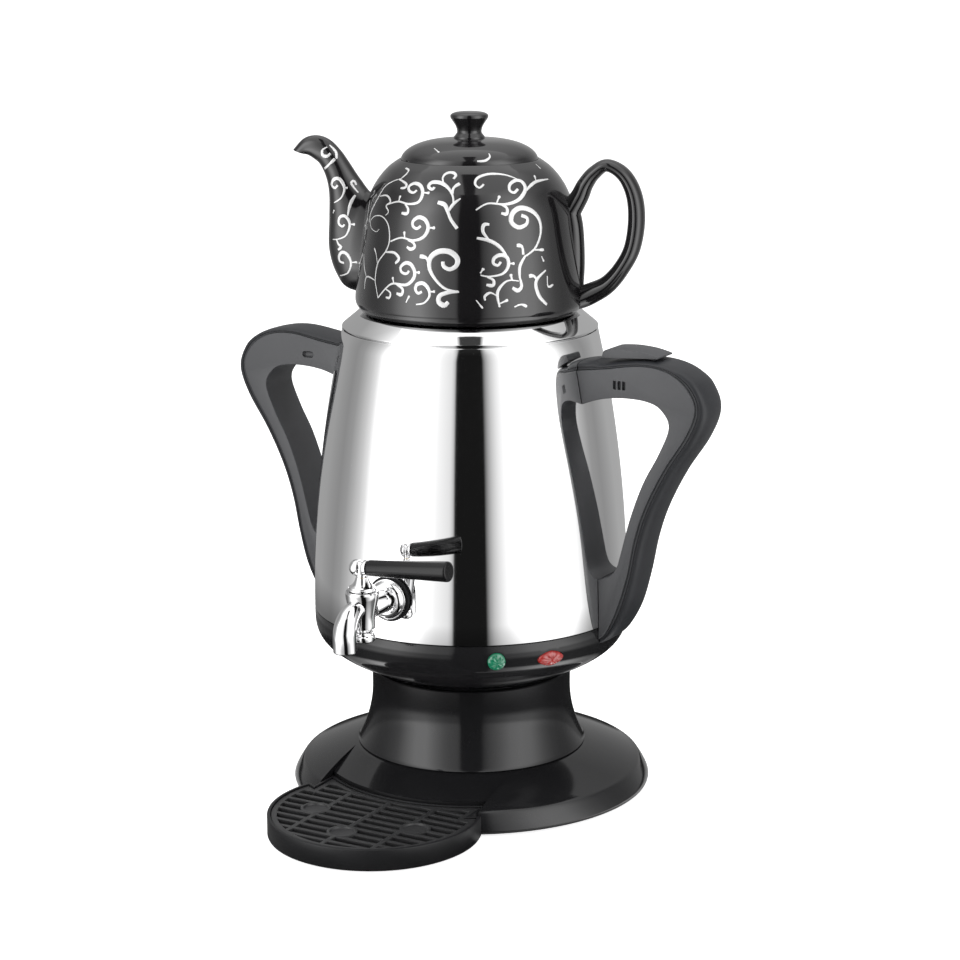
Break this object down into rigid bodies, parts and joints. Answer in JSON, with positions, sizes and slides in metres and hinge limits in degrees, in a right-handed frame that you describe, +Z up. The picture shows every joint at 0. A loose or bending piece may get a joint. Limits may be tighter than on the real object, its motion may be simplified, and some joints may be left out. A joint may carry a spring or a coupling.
{
  "type": "electric samovar with teapot",
  "caption": "Steel water tank on a black pedestal base, with a tap and pull-out drip tray, side handles, and a scrolled black teapot on its lid.",
  "frame": {"origin": "on the tank's vertical axis, on the flat underside of the base", "axes": "+Z up, -Y towards the tap and drip tray, +X towards the handle with the switch"},
  "size_m": [0.3056, 0.2768, 0.3919],
  "materials": {
    "gloss_black": "glossy charcoal black",
    "tray_black": "satin black",
    "grip_grey": "satin dark grey",
    "cover_grey": "satin darker grey",
    "lever_black": "smooth black",
    "polished_steel": "mirror polished",
    "chrome": "mirror",
    "plain_steel": "plain",
    "aluminium": "as cast",
    "brass": "machined",
    "rubber": "matt",
    "thermostat_shell": "moulded",
    "green_lens": "clear green lens",
    "red_lens": "clear red lens",
    "porcelain": "black glaze"
  },
  "bodies": {
    "samovar": {"base_housing": "gloss_black", "base_bottom_cover": "tray_black", "foot_rear_right": "rubber", "foot_rear_left": "rubber", "foot_front_left": "rubber", "foot_front_right": "rubber", "cord_gland": "rubber", "pedestal": "gloss_black", "clamp_plate": "plain_steel", "tie_rod": "plain_steel", "tie_nut": "plain_steel", "lower_bowl": "gloss_black", "lamp_green": "green_lens", "lamp_red": "red_lens", "heater_plate": "aluminium", "heating_element": "plain_steel", "boil_thermostat": "thermostat_shell", "keep_warm_thermostat": "thermostat_shell", "thermal_fuse": "plain_steel", "tank_shell": "polished_steel", "tap_gasket": "rubber", "tap_inner_gasket": "rubber", "tap_lock_nut": "brass", "tap_flange": "chrome", "tap_body": "chrome", "tap_bonnet": "chrome", "tap_bottom_cap": "chrome", "handle_frame_left": "grip_grey", "handle_cover_left": "cover_grey", "handle_frame_right": "grip_grey", "handle_cover_right": "cover_grey", "handle_screw_upper_left": "plain_steel", "handle_screw_lower_left": "plain_steel", "handle_screw_upper_right": "plain_steel", "handle_screw_lower_right": "plain_steel", "switch_pin": "plain_steel"},
    "tray": {"drip_tray": "tray_black"},
    "grille": {"drip_grille": "tray_black"},
    "tap_valve": {"tap_plug": "brass", "lever_hub": "chrome", "lever_grip": "lever_black"},
    "lid": {"tank_lid": "polished_steel"},
    "teapot": {"teapot_body": "porcelain"},
    "pot_lid": {"teapot_lid": "porcelain"},
    "switch": {"switch_paddle": "cover_grey"}
  },
  "joints": [
    {"name": "tray_pull", "type": "slide", "parent": "samovar", "child": "tray", "axis": [0, -1, 0], "range_m": [0, 0.07]},
    {"name": "grille_lift", "type": "slide", "parent": "tray", "child": "grille", "axis": [0, 0, 1], "range_m": [0, 0.03]},
    {"name": "tap_turn", "type": "hinge", "parent": "samovar", "child": "tap_valve", "pos_m": [0, -0.11989, 0.1295], "axis": [0, 0, -1], "range_deg": [0, 90]},
    {"name": "lid_lift", "type": "slide", "parent": "samovar", "child": "lid", "axis": [0, 0, 1], "range_m": [0, 0.03]},
    {"name": "teapot_lift", "type": "slide", "parent": "lid", "child": "teapot", "axis": [0, 0, 1], "range_m": [0, 0.05]},
    {"name": "pot_lid_lift", "type": "slide", "parent": "teapot", "child": "pot_lid", "axis": [0, 0, 1], "range_m": [0, 0.03]},
    {"name": "switch_rock", "type": "hinge", "parent": "samovar", "child": "switch", "pos_m": [0.1168, 0, 0.25419], "axis": [0, -1, 0], "range_deg": [0, 2.5], "stiffness_Nm_per_rad": 0.5, "springref_deg": -2.86}
  ]
}
